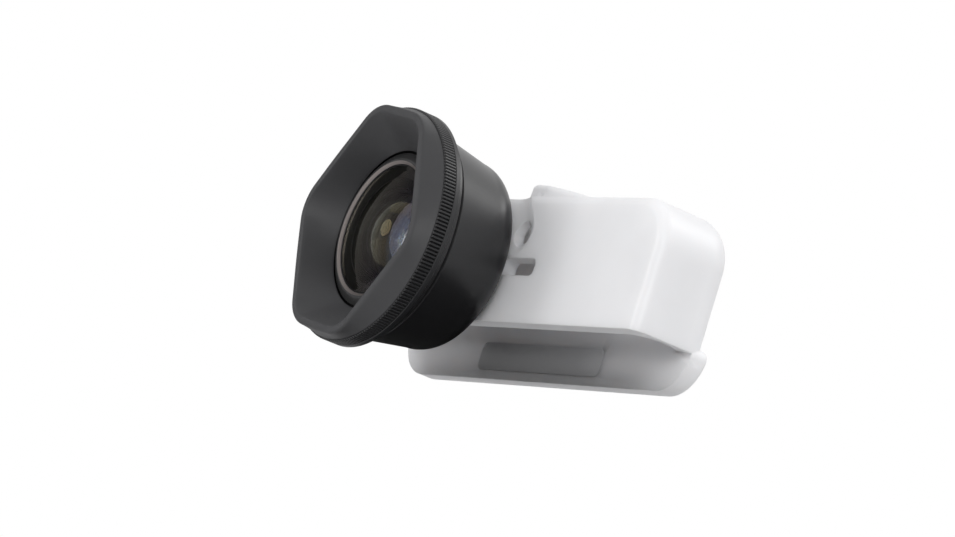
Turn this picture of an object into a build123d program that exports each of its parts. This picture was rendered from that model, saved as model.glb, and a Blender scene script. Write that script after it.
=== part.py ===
from build123d import *
from math import atan2, copysign, cos, pi, radians, sin, sqrt
import os

# A wide-angle conversion lens on a clip that slides over the top edge of a phone.
# The origin is the middle of the clip's pocket at its closed end.
# X runs to the right as seen from the front, Y runs to the back, Z runs up.

# Phone that the clip fits
phone_width = 67.1
phone_thickness = 7.1
phone_corner_r = 9.6
phone_gap = 0.1
phone_edge_flat = 0.02

# Clip
front_wall = 2.5
rear_wall = 2.9
side_wall = 1.4
top_wall = 1.7
front_reach = 16.9
clip_corner_r = 7.0
clip_front_round = 1.5
clip_back_round = 4.0

# Rear lip below the clip's sides
lip_length = 5.4
lip_rise = 1.1
lip_corner_r = 6.0
lip_top_r = 1.4
lip_edge_round = 0.6

# Thumb ridge on top of the clip
ridge_left = -2.6
ridge_length = 16.7
ridge_left_lean = 0.7
ridge_bulge = 0.1
ridge_height = 2.2
ridge_front_set = 0.6
ridge_left_set = 2.0
ridge_bend = 6.1
ridge_back_set = 3.4
ridge_edge_round = 0.9
ridge_root = 1.2

# Shallow dish in the top, round the ridge's left end
dish_offset = 4.4
dish_length = 18.0
dish_depth = 0.65

# Scoop in the front, from the sensor hole up over the top edge
scoop_half_width = 3.5
scoop_depth = 1.1
scoop_tilt = 30.0

# Openings in the clip's walls
slot_right = 7.0
slot_length = 8.0
slot_height = 2.5
slot_z = -8.9
slot_corner_r = 0.9
sensor_x = 0.4
sensor_z = -3.9
sensor_r = 1.9
window_x = 20.5
window_z = -9.6
window_length = 17.0
window_height = 9.5
pad_width = 30.0
pad_height = 4.0
pad_thickness = 0.5
pad_sink = 0.4
pad_corner_r = 1.0
pad_rise = 3.3

# Lens axis on the clip's front face
axis_x = -11.0
axis_z = -8.7

# Mount thread, drawn plain at its outer diameter
thread_r = 6.0
thread_length = 2.1
thread_gap = 0.05
thread_wall = 1.4
insert_wall = 0.9
insert_flange = 0.5
insert_flange_width = 0.4
washer_thickness = 0.4
washer_width = 1.7
washer_gap = 0.05
mount_plate = 1.1
mount_shoulder = 1.9
fixed_gap = 0.03

# Rear glasses, a cemented pair
rear_glass_r = 6.0
rear_seat_width = 0.4
rear_front_curve_r = 20.0
cement_curve_r = 15.0
rear_back_curve_r = 60.0
crown_edge = 0.8
flint_edge = 2.0

# Second glass, wider than the rear pair by a step
second_step = 1.8
second_seat_width = 0.9
second_glass_edge = 1.9
second_front_curve_r = 90.0
second_back_curve_r = 70.0

# Front glass, wider than the second by a step
front_step = 1.8
front_glass_bevel = 0.4
front_glass_edge = 3.05
front_curve_r = 28.0
front_hollow_curve_r = 10.4
front_seat_width = 2.4

# Lens cell, on a ledge in the barrel
cell_flange = 1.0
cell_wall = 1.0
cell_shoulder = 1.0
cell_clearance = 0.4
cone_length = 2.4
spacer_height = 1.1
spacer_inset = 0.2
deck_drop = 1.15
ledge_width = 2.15
ledge_height = 1.0
ledge_slope = 0.5
ledge_gap = 0.05

# Rings that hold the glasses
front_ring_width = 1.6
front_ring_depth = 1.2
front_ring_lip = 0.4
front_ring_lip_edge = 0.1
front_ring_hold = 0.15
front_ring_land = 0.35
front_ring_bevel = 0.4
front_ring_shoulder = 0.7
rear_ring_thickness = 0.8
rear_ring_width = 1.0
rear_ring_inset = 0.1
rear_ring_notch = 0.9
seal_size = 0.6
baffle_ridges = 4
baffle_clearance = 0.9
baffle_wall = 0.9
baffle_ridge_depth = 0.45

# Cell screws
screw_count = 3
screw_head_r = 0.8
screw_head_height = 0.5
screw_r = 0.5
screw_length = 1.7
screw_slot = 0.25

# Barrel
barrel_wall = 1.3
barrel_round = 3.4
barrel_taper = 1.4
barrel_inset = 0.4
flange_width = 0.6
flange_thickness = 0.7
groove_width = 0.7
groove_depth = 0.3
groove_slope = 0.3
flange_step = 0.35
neck_wall = 1.2
neck_height = 2.25

# Hood
hood_turn = -8.75
hood_running_gap = 0.05
hood_lift = 0.25
hood_end_gap = 0.3
sleeve_wall = 0.67
shade_length = 2.2
band_step = 0.25
top_inset = 0.6
side_inset = 2.8
hood_side_angle = 30.0
hood_corner_r = 5.5
rim_width = 1.0
rim_edge_round = 0.3
funnel_margin = 0.3
funnel_lift = 0.25
funnel_wall = 0.8

# Grip ring on the hood
grip_length = 2.7
grip_wall = 0.7
grip_lip = 0.8
rib_count = 207
rib_depth = 0.22
rib_top_share = 0.4

# Elastic ring between the neck and the hood
friction_ring_half = 0.25
friction_ring_drop = 1.1
friction_ring_gap = 0.1

# How far a cutting solid reaches past the surface that it cuts
over = 1.0

# Clip, from the phone outwards
pocket_half_width = phone_width / 2 + phone_gap
pocket_half_depth = phone_thickness / 2 + phone_gap
clip_half_width = pocket_half_width + side_wall
clip_front = -pocket_half_depth - front_wall
clip_back = pocket_half_depth + rear_wall
clip_depth = clip_back - clip_front
lip_reach = front_reach + lip_length
pad_z = pad_rise - lip_reach

# Lens unit, radii from the axis outwards
insert_r = thread_r + thread_gap + insert_wall
insert_flange_r = insert_r + insert_flange_width
insert_seat = front_wall - insert_flange
mount_bore_r = thread_r - thread_wall
mount_plate_r = thread_r + mount_shoulder
rear_clear_r = rear_glass_r - rear_seat_width
rear_ring_bore_r = rear_glass_r - rear_ring_width
second_glass_r = rear_glass_r + second_step
second_clear_r = second_glass_r - second_seat_width
front_glass_r = second_glass_r + front_step
front_glass_clear_r = front_glass_r - front_glass_bevel
front_hollow_r = front_glass_r - front_seat_width
seal_place_r = second_glass_r + front_step / 2
front_ring_thread_r = front_glass_r + front_ring_width
front_ring_r = front_ring_thread_r - fixed_gap
cell_outer_r = front_ring_thread_r + cell_wall
neck_bore_r = cell_outer_r + ledge_gap + ledge_width
neck_r = neck_bore_r + neck_wall
flange_r = neck_r + flange_width
barrel_front_r = neck_r - barrel_inset
barrel_side_r = barrel_front_r - barrel_taper
barrel_back_r = barrel_side_r - barrel_round
hood_bore_r = neck_r + hood_running_gap
sleeve_r = hood_bore_r + sleeve_wall
grip_bore_r = sleeve_r + fixed_gap
grip_r = grip_bore_r + grip_wall
band_back_r = grip_r - band_step
hood_half_height = band_back_r - top_inset
hood_side_distance = band_back_r - side_inset
funnel_back_r = front_ring_thread_r + funnel_margin

# Lens unit, distances from the clip's front face outwards
barrel_back = washer_thickness
cell_back = barrel_back + mount_plate + cell_clearance
rear_pair_back = cell_back + rear_ring_inset + rear_ring_thickness
rear_glass_seat = rear_pair_back + flint_edge + crown_edge
second_glass_seat = rear_glass_seat + cone_length
second_glass_face = second_glass_seat + second_glass_edge
front_glass_seat = second_glass_face + spacer_height
front_glass_face = front_glass_seat + front_glass_edge
front_ring_face = front_glass_face + front_ring_lip
cell_deck = front_glass_face - deck_drop
cell_thread_floor = cell_deck - front_ring_depth
ledge_front = cell_deck - cell_flange
flange_front = cell_deck + flange_step
flange_back = flange_front - flange_thickness
barrel_front = flange_back - groove_width
neck_front = flange_front + neck_height
friction_ring_place = neck_front - friction_ring_drop
hood_back = flange_front + hood_lift
band_back = hood_back + grip_length
hood_front = band_back + shade_length
funnel_back = hood_back + funnel_lift
hood_roof = neck_front + hood_end_gap
funnel_slope = (band_back_r - rim_width - funnel_back_r) / (hood_front - funnel_back)
ring_groove = friction_ring_half + friction_ring_gap
ring_groove_back = friction_ring_place - ring_groove
ring_groove_front = friction_ring_place + ring_groove

# Local frame of the lens unit: its own Z runs out of the clip's front face along the lens axis
lens_place = Location((axis_x, clip_front, axis_z), (90, 0, 0))


def sag(curve_r, height):
    """Depth of a spherical surface at a height from the axis."""
    return curve_r - sqrt(curve_r**2 - height**2)


def shallow_r(half_width, depth):
    """Radius of an arc with this half width and depth."""
    return (half_width**2 + depth**2) / (2 * depth)


def turned(*points):
    """Solid turned about the lens axis from (radius, distance) points."""
    outline = Polyline(*[(r, 0, u) for r, u in points], close=True)
    return revolve(make_face(outline), Axis.Z)


def tube(inner_r, outer_r, low, high):
    """Plain ring between two distances."""
    return turned((inner_r, low), (outer_r, low), (outer_r, high), (inner_r, high))


def surface(edge_r, edge, depth):
    """Arc from the axis to a spherical surface's edge. A positive depth carries the middle outwards."""
    curve_r = shallow_r(edge_r, abs(depth))
    half_way = depth - copysign(sag(curve_r, edge_r / 2), depth)
    return ThreePointArc((0, 0, edge + depth), (edge_r / 2, 0, edge + half_way), (edge_r, 0, edge))


def glass(edge_r, front_r, front_edge, front_depth, back_r, back_edge, back_depth):
    """Turned glass: a front and a back surface, with a flat seat round each that is smaller than the edge."""
    lines = [
        Line((0, 0, back_edge + back_depth), (0, 0, front_edge + front_depth)),
        surface(front_r, front_edge, front_depth),
        Line((edge_r, 0, front_edge), (edge_r, 0, back_edge)),
        surface(back_r, back_edge, back_depth),
    ]
    if edge_r > front_r:
        lines.append(Line((front_r, 0, front_edge), (edge_r, 0, front_edge)))
    if edge_r > back_r:
        lines.append(Line((edge_r, 0, back_edge), (back_r, 0, back_edge)))
    return revolve(make_face(Curve() + lines), Axis.Z)


def clip_outline(half_width, top, bottom, corner_r):
    """Front view of the clip or of its pocket: square below, rounded corners above."""
    height = top - bottom
    plate = Pos(0, (top + bottom) / 2) * Rectangle(2 * half_width, height)
    return fillet(plate.vertices().group_by(Axis.Y)[-1], corner_r)


def upright(sketch, front, depth):
    """Extrude a front-view sketch, drawn as X and Z, from a front face towards the back."""
    return extrude(Plane((0, front, 0), x_dir=(1, 0, 0), z_dir=(0, -1, 0)) * sketch, -depth)


def make_rear_lip():
    """Lower part of the rear wall, which stands out past the rounded back edges."""
    top = lip_rise - front_reach
    plate = Pos(0, (top - lip_reach) / 2) * Rectangle(2 * clip_half_width, top + lip_reach)
    lip = upright(plate, pocket_half_depth, rear_wall)
    corners = lip.edges().filter_by(Axis.Y).group_by(Axis.Z)
    lip = fillet(corners[0], lip_corner_r)
    corners = lip.edges().filter_by(Axis.Y).group_by(Axis.Z)
    lip = fillet(corners[-1], lip_top_r)
    return fillet(lip.faces().sort_by(Axis.Y)[-1].edges(), lip_edge_round)


def make_ridge_corner(front, root):
    """Cutter that sets the left end of the ridge's front face back at an angle."""
    bend = ridge_left + ridge_bend
    left = ridge_left - over
    left_front = clip_front + ridge_left_set
    slant = [(bend, front), (ridge_left, left_front), (left, left_front)]
    corners = [*slant, (left, front - over), (bend, front - over)]
    height = ridge_root + ridge_height + over
    return Pos(0, 0, root) * extrude(make_face(Polyline(*corners, close=True)), height, dir=(0, 0, 1))


def make_thumb_ridge():
    """Wedge on top of the clip, steep at its left end and running out to the right in a slight curve."""
    front = clip_front + ridge_front_set
    depth = clip_depth - ridge_front_set - ridge_back_set
    root = top_wall - ridge_root
    crest = (ridge_left + ridge_left_lean, top_wall + ridge_height)
    tail = (ridge_left + ridge_length, top_wall)
    middle = ((crest[0] + tail[0]) / 2, (crest[1] + tail[1]) / 2 + ridge_bulge)
    outline = [
        Polyline(tail, (tail[0], root), (ridge_left, root), crest),
        ThreePointArc(crest, middle, tail),
    ]
    ridge = upright(make_face(Curve() + outline), front, depth) - make_ridge_corner(front, root)
    crown = ridge.faces().sort_by(Axis.Z)[-1]
    return fillet(crown.edges().sort_by(Axis.X)[:-1], ridge_edge_round)


def make_pocket():
    """Space for the phone: flat faces, rounded long edges and rounded corners."""
    reach = lip_reach + over
    edge_r = pocket_half_depth - phone_edge_flat / 2
    plan = RectangleRounded(2 * pocket_half_width, 2 * pocket_half_depth, edge_r)
    body = extrude(plan, -reach)
    front_view = clip_outline(pocket_half_width, 0, -reach, phone_corner_r)
    return body & upright(front_view, -pocket_half_depth, 2 * pocket_half_depth)


def make_dish():
    """Long cylinder across the clip that cuts the shallow dish round the ridge's left end."""
    dish_r = shallow_r(dish_length / 2, dish_depth)
    outline = Pos(ridge_left - dish_offset, top_wall + dish_r - dish_depth) * Circle(dish_r)
    return upright(outline, clip_front - over, clip_depth + 2 * over)


def make_scoop():
    """Round-ended cutter that lies in the front face and leans to the left as it rises."""
    scoop_r = shallow_r(scoop_half_width, scoop_depth)
    length = 3 * scoop_r
    place = Location((sensor_x, clip_front + scoop_depth - scoop_r, sensor_z), (0, -scoop_tilt, 0))
    return place * (Sphere(scoop_r) + Pos(0, 0, length / 2) * Cylinder(scoop_r, length))


def clip_rim(body, end):
    """Edges round a clip's front (0) or back (-1) face, without its lower edge."""
    face = body.faces().sort_by(Axis.Y)[end]
    return face.edges().sort_by(Axis.Z)[1:]


def cut_wall(sketch, front, wall):
    """Cutter that goes through a front or rear wall, from its front face."""
    return upright(sketch, front - over, wall + 2 * over)


def pad_outline():
    return Pos(0, pad_z) * RectangleRounded(pad_width, pad_height, pad_corner_r)


def make_clip_shell():
    outline = clip_outline(clip_half_width, top_wall, -front_reach, clip_corner_r)
    body = upright(outline, clip_front, clip_depth)
    body = fillet(clip_rim(body, 0), clip_front_round)
    body = fillet(clip_rim(body, -1), clip_back_round)
    body -= make_dish()
    body -= make_scoop()
    body += make_rear_lip()
    body += make_thumb_ridge()
    body -= make_pocket()
    seat = tube(0, insert_r, -insert_seat - over, over)
    flange_seat = tube(0, insert_flange_r, -front_wall - over, -insert_seat)
    body -= lens_place * (seat + flange_seat)
    slot = Pos(slot_right - slot_length / 2, slot_z) * RectangleRounded(slot_length, slot_height, slot_corner_r)
    body -= cut_wall(slot, clip_front, front_wall)
    body -= cut_wall(Pos(sensor_x, sensor_z) * Circle(sensor_r), clip_front, front_wall)
    window = Pos(window_x, window_z) * SlotOverall(window_length, window_height)
    body -= cut_wall(window, pocket_half_depth, rear_wall)
    return body - upright(pad_outline(), pocket_half_depth - over, pad_sink + over)


def make_rear_pad():
    """Soft pad sunk in the rear wall, proud by a little."""
    return upright(pad_outline(), pocket_half_depth + pad_sink - pad_thickness, pad_thickness)


def make_mount_insert():
    bore_r = thread_r + thread_gap
    return turned(
        (bore_r, 0),
        (insert_r, 0),
        (insert_r, -insert_seat),
        (insert_flange_r, -insert_seat),
        (insert_flange_r, -front_wall),
        (bore_r, -front_wall),
    )


def make_barrel_shell():
    side_low = barrel_back + barrel_round
    inner_round = barrel_round - barrel_wall
    diag = sqrt(0.5)
    back_plate = barrel_back + barrel_wall
    ledge_r = neck_bore_r - ledge_width
    outer = [
        ThreePointArc(
            (barrel_back_r, 0, barrel_back),
            (barrel_back_r + barrel_round * diag, 0, side_low - barrel_round * diag),
            (barrel_side_r, 0, side_low),
        ),
        Polyline(
            (barrel_side_r, 0, side_low),
            (barrel_front_r, 0, barrel_front - groove_slope),
            (barrel_front_r - groove_depth, 0, barrel_front),
            (barrel_front_r - groove_depth, 0, flange_back),
            (flange_r, 0, flange_back),
            (flange_r, 0, flange_front),
            (neck_r, 0, flange_front),
            (neck_r, 0, neck_front),
            (neck_bore_r, 0, neck_front),
            (neck_bore_r, 0, ledge_front),
            (ledge_r, 0, ledge_front),
            (ledge_r, 0, ledge_front - ledge_height),
            (barrel_side_r - barrel_wall, 0, ledge_front - ledge_height - ledge_slope),
            (barrel_side_r - barrel_wall, 0, side_low),
        ),
        ThreePointArc(
            (barrel_side_r - barrel_wall, 0, side_low),
            (barrel_back_r + inner_round * diag, 0, side_low - inner_round * diag),
            (barrel_back_r, 0, back_plate),
        ),
        Polyline(
            (barrel_back_r, 0, back_plate),
            (mount_plate_r + fixed_gap, 0, back_plate),
            (mount_plate_r + fixed_gap, 0, barrel_back),
            (barrel_back_r, 0, barrel_back),
        ),
    ]
    shell = revolve(make_face(Curve() + outer), Axis.Z)
    shell -= tube(neck_r - ring_groove, neck_r + over, ring_groove_back, ring_groove_front)
    for hole in screw_places():
        shell -= hole * Cylinder(screw_r, 3 * screw_length)
    return shell


def screw_places():
    """Where the screws stand on the cell's flange."""
    ring_r = neck_bore_r - ledge_width / 2
    return [Rot(0, 0, 360 / screw_count * i) * Pos(ring_r, 0, cell_deck) for i in range(screw_count)]


def make_lens_cell():
    glass_bore = front_glass_r + fixed_gap
    second_bore = second_glass_r + fixed_gap
    rear_bore = rear_glass_r + fixed_gap
    cell = turned(
        (rear_bore, cell_back),
        (rear_bore + cell_wall, cell_back),
        (rear_bore + cell_wall, rear_glass_seat),
        (second_bore + cell_wall, second_glass_seat),
        (cell_outer_r, front_glass_seat - cell_shoulder),
        (cell_outer_r, ledge_front),
        (neck_bore_r - fixed_gap, ledge_front),
        (neck_bore_r - fixed_gap, cell_deck),
        (front_ring_thread_r, cell_deck),
        (front_ring_thread_r, cell_thread_floor),
        (glass_bore, cell_thread_floor),
        (glass_bore, front_glass_seat),
        (second_bore, front_glass_seat),
        (second_bore, second_glass_seat),
        (second_clear_r, second_glass_seat),
        (rear_clear_r, rear_glass_seat),
        (rear_bore, rear_glass_seat),
    )
    groove_half = seal_size / 2 + fixed_gap
    seal_back = front_glass_seat - seal_size
    cell -= tube(seal_place_r - groove_half, seal_place_r + groove_half, seal_back, front_glass_seat)
    for hole in screw_places():
        cell -= hole * Cylinder(screw_r, 3 * screw_length)
        cell -= hole * Cylinder(screw_head_r, 2 * screw_head_height)
    return cell


def make_cell_screws():
    """Three cheese-head screws with a driver slot, sunk in the cell's flange."""
    screws = []
    for place in screw_places():
        head = Pos(0, 0, -screw_head_height / 2) * Cylinder(screw_head_r - fixed_gap, screw_head_height)
        shank = Pos(0, 0, -screw_head_height - screw_length / 2) * Cylinder(screw_r - fixed_gap, screw_length)
        slot = Box(2 * screw_head_r, screw_slot, screw_head_height)
        screws.append(place * (head + shank - slot))
    return Compound(children=screws)


def make_front_element():
    return glass(
        front_glass_r,
        front_glass_clear_r,
        front_glass_face,
        sag(front_curve_r, front_glass_clear_r),
        front_hollow_r,
        front_glass_seat,
        sag(front_hollow_curve_r, front_hollow_r),
    )


def make_front_retaining_ring():
    bore = front_glass_r + fixed_gap
    lip_r = front_glass_r - front_ring_hold
    land_r = lip_r + front_ring_bevel
    return turned(
        (bore, cell_thread_floor),
        (front_ring_r, cell_thread_floor),
        (front_ring_r, front_ring_face - front_ring_shoulder),
        (land_r + front_ring_land, front_ring_face),
        (land_r, front_ring_face),
        (lip_r, front_glass_face + front_ring_lip_edge),
        (lip_r, front_glass_face),
        (bore, front_glass_face),
    )


def make_front_seal_ring():
    """Square seal in a groove behind the front glass."""
    half = seal_size / 2
    return tube(seal_place_r - half, seal_place_r + half, front_glass_seat - seal_size, front_glass_seat)


def make_spacer_ring():
    return tube(second_clear_r + spacer_inset, second_glass_r, second_glass_face, front_glass_seat)


def make_second_element():
    return glass(
        second_glass_r,
        second_clear_r,
        second_glass_face,
        -sag(second_front_curve_r, second_clear_r),
        second_clear_r,
        second_glass_seat,
        sag(second_back_curve_r, second_clear_r),
    )


def make_rear_retaining_ring():
    ring = tube(rear_ring_bore_r, rear_glass_r, rear_pair_back - rear_ring_thickness, rear_pair_back)
    notch = Box(3 * rear_glass_r, rear_ring_notch, rear_ring_thickness)
    return ring - Pos(0, 0, rear_pair_back - rear_ring_thickness) * notch


def make_doublet_crown():
    return glass(
        rear_glass_r,
        rear_clear_r,
        rear_glass_seat,
        sag(rear_front_curve_r, rear_clear_r),
        rear_glass_r,
        rear_glass_seat - crown_edge,
        -sag(cement_curve_r, rear_glass_r),
    )


def make_doublet_flint():
    return glass(
        rear_glass_r,
        rear_glass_r,
        rear_glass_seat - crown_edge,
        -sag(cement_curve_r, rear_glass_r),
        rear_ring_bore_r,
        rear_pair_back,
        -sag(rear_back_curve_r, rear_ring_bore_r),
    )


def make_mount_ring():
    """Back plate in the barrel with the outside thread and the light's way through."""
    plate_front = barrel_back + mount_plate
    return turned(
        (mount_bore_r, -thread_length),
        (thread_r, -thread_length),
        (thread_r, barrel_back),
        (mount_plate_r, barrel_back),
        (mount_plate_r, plate_front),
        (mount_bore_r, plate_front),
    )


def make_seat_washer():
    inner = thread_r + washer_gap
    return tube(inner, inner + washer_width, 0, washer_thickness)


def hood_section(inset, height):
    """Rounded hexagon of the hood at a distance along the axis, inset from its outside."""
    slope = radians(hood_side_angle)
    top = hood_half_height - inset
    side = hood_side_distance - inset
    top_x = (side - top * sin(slope)) / cos(slope)
    side_x = side / cos(slope)
    corners = [(side_x, 0), (top_x, top), (-top_x, top), (-side_x, 0), (-top_x, -top), (top_x, -top)]
    shape = fillet(Polygon(*corners, align=None).vertices(), hood_corner_r - inset)
    return (Pos(0, 0, height) * shape).face()


def round_section(section, r, height):
    """Circle cut into as many arcs as a section has sides, at the same angles, for a clean loft."""
    angles = sorted(atan2(v.Y, v.X) for v in section.vertices())
    arcs = []
    for start, end in zip(angles, angles[1:] + [angles[0] + 2 * pi]):
        places = [(r * cos(a), r * sin(a), height) for a in (start, (start + end) / 2, end)]
        arcs.append(ThreePointArc(*places))
    return make_face(Curve() + arcs).face()


def make_hood_body():
    rim = hood_section(0, hood_front)
    shade = loft([round_section(rim, band_back_r, band_back), rim])
    shade += tube(0, sleeve_r, hood_back, band_back)
    shade = fillet(shade.faces().sort_by(Axis.Z)[-1].edges(), rim_edge_round)
    mouth = hood_section(rim_width, hood_front)
    shade -= loft([round_section(mouth, funnel_back_r, funnel_back), mouth])
    shade -= turned(
        (0, hood_back - over),
        (hood_bore_r, hood_back - over),
        (hood_bore_r, hood_roof),
        (funnel_back_r + funnel_slope * (hood_roof - funnel_back) + funnel_wall, hood_roof),
        (funnel_back_r + funnel_wall, funnel_back),
        (0, funnel_back),
    )
    shade -= tube(neck_r, neck_r + ring_groove, ring_groove_back, ring_groove_front)
    return Rot(0, 0, hood_turn) * shade


def make_grip_ring():
    """Ring with fine straight ribs, flat on top with sharp valleys, and a plain lip behind them."""
    valley_r = grip_r - rib_depth
    step = 2 * pi / rib_count
    points = []
    for i in range(rib_count):
        for share, r in ((0, grip_r), (rib_top_share, grip_r), ((1 + rib_top_share) / 2, valley_r)):
            angle = (i + share) * step
            points.append((r * cos(angle), r * sin(angle)))
    outline = make_face(Polyline(*points, close=True)) - Circle(grip_bore_r)
    lip_front = hood_back + grip_lip
    ribs = Pos(0, 0, lip_front) * extrude(outline, band_back - lip_front)
    return ribs + tube(grip_bore_r, grip_r, hood_back, lip_front)


def make_baffle_ring():
    """Stepped ring in the cell's cone behind the second glass, which stops stray light."""
    narrow = (second_clear_r - rear_clear_r) / (second_glass_seat - rear_glass_seat)
    low_r = rear_clear_r + narrow * baffle_clearance
    low = rear_glass_seat + baffle_clearance
    pitch = (second_glass_seat - low) / baffle_ridges
    inner = []
    for i in range(baffle_ridges):
        top = second_glass_seat - i * pitch
        r = second_clear_r - narrow * i * pitch - baffle_wall
        inner.append((r, top))
        inner.append((r - baffle_ridge_depth, top - pitch))
    return turned((low_r, low), (second_clear_r, second_glass_seat), *inner)


def make_friction_ring():
    half = friction_ring_half
    return tube(neck_r - half, neck_r + half, friction_ring_place - half, friction_ring_place + half)


os.makedirs("parts", exist_ok=True)
on_clip = {"clip_shell": make_clip_shell(), "rear_pad": make_rear_pad()}
on_axis = {
    "mount_insert": make_mount_insert(),
    "seat_washer": make_seat_washer(),
    "mount_ring": make_mount_ring(),
    "barrel_shell": make_barrel_shell(),
    "lens_cell": make_lens_cell(),
    "cell_screws": make_cell_screws(),
    "front_element": make_front_element(),
    "front_retaining_ring": make_front_retaining_ring(),
    "front_seal_ring": make_front_seal_ring(),
    "spacer_ring": make_spacer_ring(),
    "second_element": make_second_element(),
    "doublet_crown": make_doublet_crown(),
    "doublet_flint": make_doublet_flint(),
    "baffle_ring": make_baffle_ring(),
    "rear_retaining_ring": make_rear_retaining_ring(),
    "hood_body": make_hood_body(),
    "grip_ring": make_grip_ring(),
    "hood_friction_ring": make_friction_ring(),
}
for name, shape in on_clip.items():
    export_step(shape, f"parts/{name}.step")
for name, shape in on_axis.items():
    export_step(lens_place * shape, f"parts/{name}.step")
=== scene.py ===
# %% [markdown]
# # A wide-angle conversion lens on a slide-on clip
# A black lens unit with a six-sided shade is screwed to a white moulded cap. This script loads the
# measured solids, gives each surface the finish of the real one, and lights it as in a small studio.

# %% Load the measured solids
import math

import bmesh
import bpy
from mathutils import Matrix, Vector


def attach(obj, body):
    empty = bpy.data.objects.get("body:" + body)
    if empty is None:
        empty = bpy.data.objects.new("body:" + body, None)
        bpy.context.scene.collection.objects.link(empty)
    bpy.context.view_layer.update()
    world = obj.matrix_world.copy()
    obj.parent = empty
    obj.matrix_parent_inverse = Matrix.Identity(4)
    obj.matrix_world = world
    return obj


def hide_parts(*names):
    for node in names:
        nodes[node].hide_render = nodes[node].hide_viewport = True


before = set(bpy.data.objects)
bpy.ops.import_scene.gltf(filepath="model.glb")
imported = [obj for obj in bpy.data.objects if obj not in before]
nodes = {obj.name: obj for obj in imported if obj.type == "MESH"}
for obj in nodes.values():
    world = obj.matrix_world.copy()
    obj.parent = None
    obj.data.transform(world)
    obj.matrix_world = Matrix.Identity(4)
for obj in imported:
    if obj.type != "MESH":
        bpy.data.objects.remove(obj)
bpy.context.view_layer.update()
print("solids loaded:", len(nodes))

# %% [markdown]
# ## Where things are
# The lens unit is round, so its pieces are easiest to draw about its own axis, in millimetres, and to
# place afterwards. One matrix does that: it turns the drawing's axis until it points out of the cap's
# front face, moves it to the mount's centre, and scales millimetres to metres.

# %% The lens axis
mm = 0.001
axis_x = -11.0
cap_face = -6.15
axis_z = -8.7
on_axis = Matrix.Scale(mm, 4) @ Matrix(
    ((1, 0, 0, axis_x), (0, 0, -1, cap_face), (0, 1, 0, axis_z), (0, 0, 0, 1))
)
print("lens axis leaves the cap at", [round(v, 2) for v in on_axis.translation / mm])

# %% [markdown]
# ## Camera
# A camera matched to a picture needs a place, a direction and a focal length. These come from the
# straight edges of the cap and the round edges of the shade: a long lens, from the right and a little
# below.

# %% Camera
camera_place = Vector((0.5510, -0.3473, -0.1193))
camera_turn = Matrix(
    ((0.540161, -0.01978, 0.841329), (0.789034, -0.335763, -0.514479), (0.292664, 0.941739, -0.165759))
)
view_data = bpy.data.cameras.new("studio_camera")
view_data.lens = 181.35
view_data.sensor_width = 36.0
view_data.clip_start = 0.05
view_data.clip_end = 20.0
studio_camera = bpy.data.objects.new("studio_camera", view_data)
studio_camera.matrix_world = Matrix.Translation(camera_place) @ camera_turn.to_4x4()
bpy.context.scene.collection.objects.link(studio_camera)
bpy.context.scene.camera = studio_camera
bpy.context.scene.view_settings.view_transform = "Standard"
print("camera stands at", [round(v, 3) for v in studio_camera.location])

# %% [markdown]
# ## Studio
# White plastic needs soft light from everywhere, but less of it from below, or its rounds go flat. A
# world that is brightest at the horizon and dims towards the ground gives that. The background itself is
# plain white, and black metal and glass mirror the same white, so what gives them their shape is three
# lamps, one black card and two grey ones. One small chain of nodes finds the rays that show the background.

# %% Rays that show the background
def shows_background(node_tree):
    """A value of 1 for camera, mirror and glass rays, and 0 for the rays that only light the object."""
    ray = node_tree.nodes.new("ShaderNodeLightPath")
    seen = ray.outputs["Is Camera Ray"]
    for kind in ("Is Glossy Ray", "Is Transmission Ray"):
        either = node_tree.nodes.new("ShaderNodeMath")
        either.operation = "MAXIMUM"
        node_tree.links.new(seen, either.inputs[0])
        node_tree.links.new(ray.outputs[kind], either.inputs[1])
        seen = either.outputs["Value"]
    return seen


# %% [markdown]
# The world is a ramp of grey from the ground over the horizon to the sky. Rays that show the background
# see plain white in its place.

# %% World
ground_light = (0.40, 0.40, 0.41, 1)
horizon_light = (0.85, 0.85, 0.86, 1)
sky_light = (0.60, 0.60, 0.61, 1)
world = bpy.data.worlds.new("studio_world")
bpy.context.scene.world = world
world.use_nodes = True
tree = world.node_tree
tree.nodes.clear()
world_out = tree.nodes.new("ShaderNodeOutputWorld")
direction = tree.nodes.new("ShaderNodeTexCoord")
split = tree.nodes.new("ShaderNodeSeparateXYZ")
height_ramp = tree.nodes.new("ShaderNodeValToRGB")
to_unit = tree.nodes.new("ShaderNodeMapRange")
to_unit.inputs["From Min"].default_value = -1.0
to_unit.inputs["From Max"].default_value = 1.0
height_ramp.color_ramp.elements[0].position = 0.0
height_ramp.color_ramp.elements[0].color = ground_light
height_ramp.color_ramp.elements[1].position = 1.0
height_ramp.color_ramp.elements[1].color = sky_light
horizon = height_ramp.color_ramp.elements.new(0.5)
horizon.color = horizon_light
room = tree.nodes.new("ShaderNodeBackground")
white = tree.nodes.new("ShaderNodeBackground")
white.inputs["Color"].default_value = (1, 1, 1, 1)
pick = tree.nodes.new("ShaderNodeMixShader")
tree.links.new(direction.outputs["Generated"], split.inputs["Vector"])
tree.links.new(split.outputs["Z"], to_unit.inputs["Value"])
tree.links.new(to_unit.outputs["Result"], height_ramp.inputs["Fac"])
tree.links.new(height_ramp.outputs["Color"], room.inputs["Color"])
tree.links.new(shows_background(tree), pick.inputs["Fac"])
tree.links.new(room.outputs["Background"], pick.inputs[1])
tree.links.new(white.outputs["Background"], pick.inputs[2])
tree.links.new(pick.outputs["Shader"], world_out.inputs["Surface"])
print("world nodes:", len(tree.nodes))

# %% [markdown]
# Three oval lamps draw the highlights: one high up behind, one in front on the left, and one on the
# right. Ovals leave round highlights in the glass, as real lamps do.

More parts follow.
